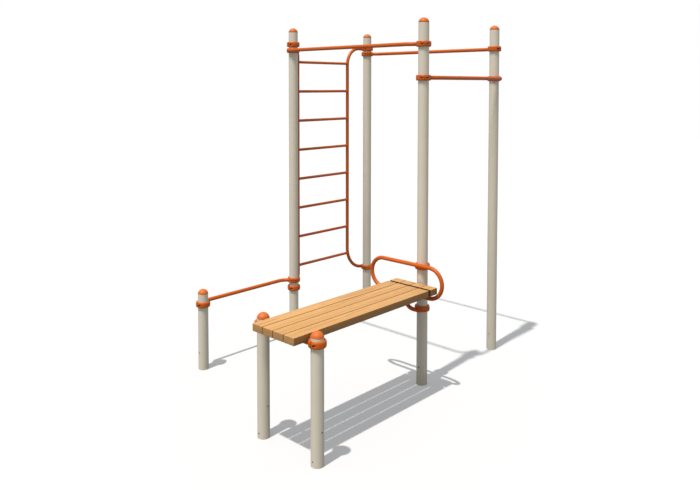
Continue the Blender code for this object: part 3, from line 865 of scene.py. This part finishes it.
def clamp_half_shell():
    """The section carried round the post from slit to slit, centred on +X."""
    slit = math.asin(CLAMP_SLIT / 2 / POST_RADIUS)
    along, less = rounded_edge(CLAMP_END_EDGE, EDGE_POINTS)
    along = along / CLAMP_RADIUS
    limit = np.pi / 2 - slit
    middle = np.linspace(-limit + along[-1], limit - along[-1], CLAMP_ROUND_POINTS)[1:-1]
    turn = np.concatenate([-limit + along, middle, (limit - along)[::-1]])
    draws = np.concatenate([less, 0 * middle, less[::-1]])
    rows = []
    for angle, draw in zip(turn, draws):
        r, z = clamp_profile(draw)
        rows.append(np.stack([r * math.cos(angle), r * math.sin(angle), z], axis=-1))
    points, faces = closed_grid(np.array(rows))
    return points, [face[::-1] for face in faces]


def pin_shell(aside):
    """A plain round pin along +X that bores a pocket."""
    path = np.array([(POCKET_FLOOR, aside, 0), (POCKET_PIN_END, aside, 0)])
    return closed_grid(tube_rows(path, POCKET_RADIUS, Z, around=POCKET_AROUND))


def bored(name, shell, pins):
    """The shell with the pins cut out of it."""
    block = placed(name, mesh_of(name, shell))
    cutter = placed(name + "_pins", mesh_of(name + "_pins", joined(pins)))
    cut = block.modifiers.new("bore", "BOOLEAN")
    cut.operation = "DIFFERENCE"
    cut.solver = "EXACT"
    cut.object = cutter
    bpy.context.view_layer.update()
    graph = bpy.context.evaluated_depsgraph_get()
    mesh = block.evaluated_get(graph).to_mesh()
    points = read_vectors(mesh.vertices, "co")
    faces = [list(face.vertices) for face in mesh.polygons]
    for thing in (block, cutter):
        bpy.data.objects.remove(thing, do_unlink=True)
    return points, faces


def bolt_shell(place):
    """A socket screw's head along +X: a round cap with rounded rim and a hexagonal socket.

    Rows run from the seat out and into the socket: r(a, row) is a circle outside and
    a hexagon, apothem / cos(a - nearest flat), inside.
    """
    angle = round_angles(BOLT_AROUND)
    flat = 2 * np.pi / BOLT_SOCKET_FLATS
    off_flat = (angle + flat / 2) % flat - flat / 2
    hexagon = BOLT_SOCKET_SIZE / np.cos(off_flat)
    circle = np.ones(BOLT_AROUND)
    top = BOLT_HEAD_HEIGHT
    rows = [(circle * BOLT_HEAD_RADIUS, 0.0),
            (circle * BOLT_HEAD_RADIUS, top - BOLT_EDGE),
            (circle * (BOLT_HEAD_RADIUS - BOLT_SMALL_EDGE), top - BOLT_SMALL_EDGE),
            (circle * (BOLT_HEAD_RADIUS - BOLT_EDGE), top),
            (hexagon * BOLT_SOCKET_FLARE, top),
            (hexagon, top - BOLT_SMALL_EDGE),
            (hexagon, top - BOLT_SOCKET_DEPTH)]
    grid = np.array([np.stack([0 * angle + reach, radius * np.cos(angle),
                               radius * np.sin(angle)], axis=-1) for radius, reach in rows])
    return closed_grid(grid + place)


def make_clamp_shells():
    """The plain half, the bored half and the two bolt heads, all centred on +X."""
    half = clamp_half_shell()
    asides = (-BOLT_OFFSET, BOLT_OFFSET)
    pins = [pin_shell(aside) for aside in asides]
    heads = joined([bolt_shell(np.array((POCKET_FLOOR, aside, 0))) for aside in asides])
    return half, bored("clamp_half", half, pins), heads


PLAIN_HALF, BORED_HALF, BOLT_HEADS = make_clamp_shells()


def clamp_spot(node, post):
    """The middle of a clamp on its post."""
    return post + Z * clamp_height(node)


def bolt_heads(name, node, post, direction):
    """The two bolt heads in one half of a clamp."""
    piece(name, moved(BOLT_HEADS, clamp_spot(node, post), direction), MATERIALS["bolt"],
          sharp=METAL_SHARP)


def close_clamp(node, post, direction):
    """The loose half and its bolts, across the post from the welded half."""
    back = direction + math.pi
    orange_piece("half_", node, moved(BORED_HALF, clamp_spot(node, post), back))
    bolt_heads("bolts_" + node, node, post, back)


def welded_half(node, post, direction, bolted=False):
    return moved(BORED_HALF if bolted else PLAIN_HALF, clamp_spot(node, post), direction)


# Bars

def make_bar(name, posts, sides, ends):
    """A bar beside both posts that turns in by 45 degrees at the near one."""
    far_post, near_post = posts
    far_side, near_side = sides
    far_clamp, near_clamp = ["clamp_%s_%s" % (name, end) for end in ends]
    lift = Z * clamp_height(far_clamp)
    side = np.array((round(math.cos(far_side)), round(math.sin(far_side)), 0.0))
    along = unit(near_post - far_post)
    beside = far_post + side * SIDE_OFFSET
    start = beside - along * END_PAST_POST + lift
    reach = SIDE_OFFSET + TURN_IN_ASIDE * math.sqrt(2)
    corner = near_post + side * SIDE_OFFSET - along * reach + lift
    inward = (along - side) / math.sqrt(2)
    to_post = (near_post + lift - corner) @ inward
    near_end = corner + inward * (to_post - CLAMP_RADIUS)
    path, radii = eased_ends(rounded_path([start, corner, near_end], BAR_BEND_RADIUS),
                             TUBE_RADIUS, at_end=False)
    rows = meet_cylinder(tube_rows(path, radii, Z), near_post, Z, POST_RADIUS + GAP * 2)
    shell = joined([
        closed_grid(rows),
        welded_half(far_clamp, far_post, far_side),
        welded_half(near_clamp, near_post, near_side, bolted=True),
        clamp_weld(beside + along * WELD_APPROACH + lift, -along, far_post, (side, Z), NEAR_HALF),
        clamp_weld(corner, inward, near_post, (np.cross(Z, inward), Z))])
    orange_piece("rail_", name, shell)
    bolt_heads("nuts_" + name, near_clamp, near_post, near_side)
    close_clamp(far_clamp, far_post, far_side)
    close_clamp(near_clamp, near_post, near_side)


def make_bars():
    make_bar("high_bar_left", (BACK_LEFT, FRONT_LEFT), (TO_LEFT, TO_BACK_LEFT),
             ("back", "front"))
    make_bar("high_bar_right", (FRONT_RIGHT, BACK_RIGHT), (TO_RIGHT, TO_FRONT_RIGHT),
             ("front", "back"))
    make_bar("front_bar", (FRONT_RIGHT, FRONT_LEFT), (TO_FRONT, TO_FRONT_RIGHT),
             ("right", "left"))
    make_bar("low_bar", (LOW_BAR_POST, BACK_LEFT), (TO_BACK, TO_BACK_LEFT),
             ("outer", "inner"))


# Ladder

def make_stile(name, short, post, outward, place_x, *radii):
    """A C-shaped stile whose ends run behind the post, with both welded halves."""
    top_clamp = "clamp_ladder_top_" + short
    bottom_clamp = "clamp_ladder_bottom_" + short
    top = clamp_height(top_clamp)
    bottom = clamp_height(bottom_clamp)
    back = post[1] + SIDE_OFFSET
    end_x = post[0] + outward * END_PAST_POST
    corners = ((end_x, back, top), (place_x, back, top), (place_x, back, bottom),
               (end_x, back, bottom))
    path, thickness = eased_ends(rounded_path(corners, *radii), TUBE_RADIUS)
    shells = [closed_grid(tube_rows(path, thickness, Y))]
    for node, height in ((top_clamp, top), (bottom_clamp, bottom)):
        shells.append(welded_half(node, post, TO_BACK))
        approach = np.array((post[0] - outward * WELD_APPROACH, back, height))
        shells.append(clamp_weld(approach, X * outward, post, (Y, Z), NEAR_HALF))
    orange_piece("rail_", name, joined(shells))
    close_clamp(top_clamp, post, TO_BACK)
    close_clamp(bottom_clamp, post, TO_BACK)


def right_stile_at(place, foot):
    """The right stile's axis at a rung's height: a point and the way up.

    In the bottom bend the axis has moved aside by R - sqrt(R^2 - d^2), d below its start.
    """
    bend = RIGHT_STILE_FOOT_BEND_RADIUS
    drop = max(foot + bend - place[2], 0.0)
    level = math.sqrt(bend ** 2 - drop ** 2)
    return place + X * (bend - level), np.array((-drop, 0.0, level)) / bend


def make_rung(node, left_x, right_x):
    """A straight rung that ends inside both stiles, with a bead round each end."""
    middle = node_middle(node)
    left, right = [np.array((x, middle[1], middle[2])) for x in (left_x, right_x)]
    right, right_axis = right_stile_at(right, clamp_height("clamp_ladder_bottom_right"))
    path = np.array([left + X * RUNG_INSET, right - X * RUNG_INSET])
    shells = [closed_grid(tube_rows(path, RUNG_RADIUS, Z))]
    for stile, axis, way in ((left, Z, -X), (right, right_axis, X)):
        shells.append(weld_bead(middle, way, RUNG_RADIUS, stile, axis, TUBE_RADIUS, (Y, Z)))
    orange_piece("bar_", node, joined(shells))


def make_ladder():
    left_x = BACK_LEFT[0] + LEFT_STILE_RUN + LEFT_STILE_BEND_RADIUS
    right_x = BACK_RIGHT[0] - RIGHT_STILE_RUN - RIGHT_STILE_BEND_RADIUS
    make_stile("ladder_stile_left", "left", BACK_LEFT, -1, left_x, LEFT_STILE_BEND_RADIUS,
               LEFT_STILE_BEND_RADIUS)
    make_stile("ladder_stile_right", "right", BACK_RIGHT, 1, right_x, RIGHT_STILE_BEND_RADIUS,
               RIGHT_STILE_FOOT_BEND_RADIUS)
    for node in sorted(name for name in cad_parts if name.startswith("ladder_rung_")):
        make_rung(node, left_x, right_x)


# Bench

def rounded_box(low, high, edge):
    """A box whose section, a rounded rectangle in Y and Z, is carried along X.

    Near both ends the section draws in along a quarter circle, so all edges are round.
    """
    along, less = rounded_edge(edge, BOARD_EDGE_POINTS)
    x = np.concatenate([low[0] + along, (high[0] - along)[::-1]])
    draws = np.concatenate([less, less[::-1]])
    turn = np.linspace(0, np.pi / 2, BOARD_CORNER_POINTS)
    quarter = np.stack([np.cos(turn), np.sin(turn)], axis=-1)
    corners = []
    for number, signs in enumerate(((1, 1), (-1, 1), (-1, -1), (1, -1))):
        cos = round(math.cos(number * math.pi / 2))
        sin = round(math.sin(number * math.pi / 2))
        corners.append((quarter @ np.array(((cos, sin), (-sin, cos))), np.array(signs)))
    middle = (low[1:] + high[1:]) / 2
    half = (high[1:] - low[1:]) / 2
    rows = []
    for place_x, draw in zip(x, draws):
        radius = max(edge - draw, edge * BOARD_LEAST_EDGE_SHARE)
        section = np.concatenate([middle + sign * (half - draw - radius) + arc * radius
                                  for arc, sign in corners])
        rows.append(np.column_stack([np.full(len(section), place_x), section]))
    return closed_grid(np.array(rows))


def painted_light_shares(mesh, shut_front, shut_back, shut_end):
    """How much painted light each face keeps: full on top, less on the ends, less still on the
    sides and below, less again on seam walls beside a neighbour, and none in the cross gap.

    shut_front and shut_back tell whether a neighbour stands at -Y and +Y; shut_end is the
    X side, -1 or 1, that faces the cross gap. The gap edge factor carries the cross gap's painted
    shade onto its rounded edges.
    """
    normals = read_vectors(mesh.polygons, "normal")
    share = np.where(np.abs(normals[:, 0]) > END_FACING, END_PAINTED_LIGHT_SHARE, SIDE_PAINTED_LIGHT_SHARE)
    share += (1 - share) * np.clip(normals[:, 2], 0, 1)
    seam = np.maximum(np.clip(-normals[:, 1], 0, 1) * shut_front,
                      np.clip(normals[:, 1], 0, 1) * shut_back)
    share = share * (1 - seam) + SEAM_PAINTED_LIGHT_SHARE * seam
    return share * (1 - np.clip(normals[:, 0] * shut_end * GAP_EDGE_PAINTED_SHADE, 0, 1))


def make_board(node, number, shut_end):
    """A board with a number of its own, which shifts the pith line below it."""
    low, high = node_box(node)
    made = piece("timber_" + node, rounded_box(low, high, BOARD_EDGE), MATERIALS["board"],
                 [node], BOARD_SHARP)
    aside = PITH_ASIDE * math.sin(PITH_ASIDE_TURN * number + PITH_ASIDE_START)
    depth = PITH_DEPTH + PITH_DEPTH_SWING * math.cos(PITH_DEPTH_TURN * number)
    pith = (low + high) / 2 + np.array((PITH_STEP * number, aside, -depth))
    place = made.data.attributes.new("from_pith", "FLOAT_VECTOR", "POINT")
    place.data.foreach_set("vector", (read_vectors(made.data.vertices, "co") - pith).ravel())
    row = int(node[-1])
    # Each face's share of painted light, which paints shade onto sides, seam walls and the cross
    # gap
    share = made.data.attributes.new("open_share", "FLOAT", "FACE")
    share.data.foreach_set("value", painted_light_shares(made.data, row > 1, row < BOARD_ROWS, shut_end))


def make_boards():
    for number in range(1, BOARD_ROWS + 1):
        make_board("bench_plank_%d" % number, number, 1)
        make_board("bench_end_block_%d" % number, number + END_BLOCK_COUNT_FROM, -1)


def make_cross_tube():
    """The tube under the planks; its beads end where it passes below the clamps' edge."""
    height = node_box("bench_plank_1")[0][2] - GAP - TUBE_RADIUS
    lift = Z * height
    path = np.array([LEG_FRONT + lift + Y * CLAMP_RADIUS, LEG_BACK + lift - Y * CLAMP_RADIUS])
    rows = tube_rows(path, TUBE_RADIUS, Z)
    rows = meet_cylinder(rows, LEG_BACK, Z, POST_RADIUS + GAP * 2)
    rows = meet_cylinder(rows, LEG_FRONT, Z, POST_RADIUS + GAP * 2, last=False)
    middle = path.mean(axis=0)
    shells = [closed_grid(rows)]
    for node, post, way, direction in (("clamp_bench_leg_front", LEG_FRONT, -Y, TO_BACK),
                                       ("clamp_bench_leg_back", LEG_BACK, Y, TO_FRONT)):
        shells.append(welded_half(node, post, direction, bolted=True))
        below = height - clamp_height(node) + CLAMP_HEIGHT / 2
        dip = math.asin(min(below / TUBE_RADIUS, 1))
        shells.append(clamp_weld(middle, way, post, (X, Z), (-dip, math.pi + dip)))
        bolt_heads("nuts_" + node, node, post, direction)
        close_clamp(node, post, direction)
    orange_piece("rail_", "bench_cross_tube", joined(shells))


def make_handle():
    """The loop: two straight runs joined by half circles in an upright plane."""
    side = FRONT_LEFT[0] - SIDE_OFFSET
    high = node_box("bench_handle")[1][2] - TUBE_RADIUS
    middle_z = high - HANDLE_BEND_RADIUS
    middle_y = FRONT_LEFT[1] + STAY_BEND_RADIUS + STAY_RUN
    turn = np.linspace(0, np.pi, HANDLE_ARC_POINTS)
    out = HANDLE_STRAIGHT / 2 + HANDLE_BEND_RADIUS * np.sin(turn)
    rise = HANDLE_BEND_RADIUS * np.cos(turn)
    path = np.concatenate([
        np.stack([0 * out + side, middle_y + sign * out, middle_z + sign * rise], axis=-1)
        for sign in (1, -1)])
    shells = [closed_grid(tube_rows(path, TUBE_RADIUS, X, closed=True), wrap_rows=True),
              welded_half("clamp_bench_handle", FRONT_LEFT, TO_LEFT)]
    orange_piece("rail_", "bench_handle", joined(shells))
    close_clamp("clamp_bench_handle", FRONT_LEFT, TO_LEFT)
    make_stay(side, middle_y, middle_z - HANDLE_BEND_RADIUS)


def make_stay(side, middle_y, low_run):
    """The curved stay from the handle's lower run to its own clamp on the post."""
    low = node_box("bench_handle_stay")[0][2] + TUBE_RADIUS
    corner = np.array((side, middle_y, low))
    corners = ((side, FRONT_LEFT[1] - END_PAST_POST, low), corner,
               (side, middle_y, low_run - STAY_TOP_GAP))
    path, radii = eased_ends(rounded_path(corners, STAY_BEND_RADIUS), TUBE_RADIUS, at_end=False)
    handle_axis = np.array((side, middle_y, low_run))
    shells = [closed_grid(tube_rows(path, radii, X)),
              weld_bead(corner, Z, TUBE_RADIUS, handle_axis, Y, TUBE_RADIUS, (X, Y)),
              welded_half("clamp_bench_handle_stay", FRONT_LEFT, TO_LEFT)]
    orange_piece("rail_", "bench_handle_stay", joined(shells))
    close_clamp("clamp_bench_handle_stay", FRONT_LEFT, TO_LEFT)


def coat_bracket():
    """The flat bracket keeps its own shape and takes the orange coat."""
    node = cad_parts["bench_bracket"]
    for slot in node.material_slots:
        slot.material = MATERIALS["orange"]


# Stage, light and camera

def make_stage():
    corners = np.array(((-1, -1, 0), (1, -1, 0), (1, 1, 0), (-1, 1, 0)), float)
    mesh = bpy.data.meshes.new("pale_floor")
    mesh.from_pydata((corners * FLOOR_SIZE / 2).tolist(), [], [(0, 1, 2, 3)])
    floor = placed("pale_floor", mesh)
    mesh.materials.append(floor_material())
    return floor


def floor_material():
    """A floor that is white where the sun falls on it and grey in the shadows."""
    made, tree, shader = new_material("pale_floor")
    seen = tree.nodes.new("ShaderNodeLightPath").outputs["Is Camera Ray"]
    tone = mix_colours(tree, seen, FLOOR_LIT_COLOUR, FLOOR_SEEN_COLOUR)
    glow = math_node(tree, "MULTIPLY", seen, FLOOR_GLOW)
    feed_all(tree, shader, {"Base Color": tone, "Roughness": 1.0, "Specular IOR Level": 0.0,
                            "Emission Color": WHITE, "Emission Strength": glow})
    return made


def make_sky():
    """Soft light from all round, which shows as plain white behind the station."""
    world = bpy.data.worlds.new("sky")
    world.use_nodes = True
    tree = world.node_tree
    background = tree.nodes["Background"]
    seen = tree.nodes.new("ShaderNodeLightPath").outputs["Is Camera Ray"]
    colour = mix_colours(tree, seen, SKY_COLOUR, WHITE)
    strength = range_node(tree, seen, WHOLE_SPAN, (SKY_STRENGTH, 1.0))
    feed_all(tree, background, {"Color": colour, "Strength": strength})
    bpy.context.scene.world = world


def make_sun(name, travel, strength, width, floor, link_state):
    """A sun that reaches the floor alone, or all but the floor."""
    sun = bpy.data.lights.new(name, "SUN")
    sun.color = SUN_COLOUR
    sun.energy = strength
    sun.angle = width
    lamp = placed(name, sun)
    lamp.rotation_euler = Vector(travel).to_track_quat("-Z", "Y").to_euler()
    reach = bpy.data.collections.new(name + "_reach")
    reach.objects.link(floor)
    reach.collection_objects[0].light_linking.link_state = link_state
    lamp.light_linking.receiver_collection = reach


def set_plain_tones():
    """Shows light as it is, so that the white ground stays white."""
    bpy.context.scene.view_settings.view_transform = "Standard"


def make_camera():
    """The camera at its place, turned to its aim without a roll."""
    aim = Vector(CAMERA_AIM).normalized()
    right = aim.cross(Vector((0, 0, 1))).normalized()
    up = right.cross(aim)
    data = bpy.data.cameras.new("camera")
    data.sensor_width = SENSOR_WIDTH
    data.lens = CAMERA_LENS
    data.shift_x = CAMERA_SHIFT_X
    data.shift_y = CAMERA_SHIFT_Y
    data.clip_end = CAMERA_REACH
    camera = placed("camera", data)
    place = Vector(CAMERA_PLACE)
    camera.matrix_world = Matrix((
        (right.x, up.x, -aim.x, place.x), (right.y, up.y, -aim.y, place.y),
        (right.z, up.z, -aim.z, place.z), (0, 0, 0, 1)))
    bpy.context.scene.camera = camera


make_camera()
make_posts()
make_bars()
make_ladder()
make_boards()
make_cross_tube()
make_handle()
coat_bracket()
pale_floor = make_stage()
make_sky()
make_sun("floor_sun", FLOOR_SUN_TRAVEL, FLOOR_SUN_STRENGTH, FLOOR_SUN_WIDTH, pale_floor,
         "INCLUDE")
make_sun("station_sun", STATION_SUN_TRAVEL, STATION_SUN_STRENGTH, STATION_SUN_WIDTH,
         pale_floor, "EXCLUDE")
set_plain_tones()
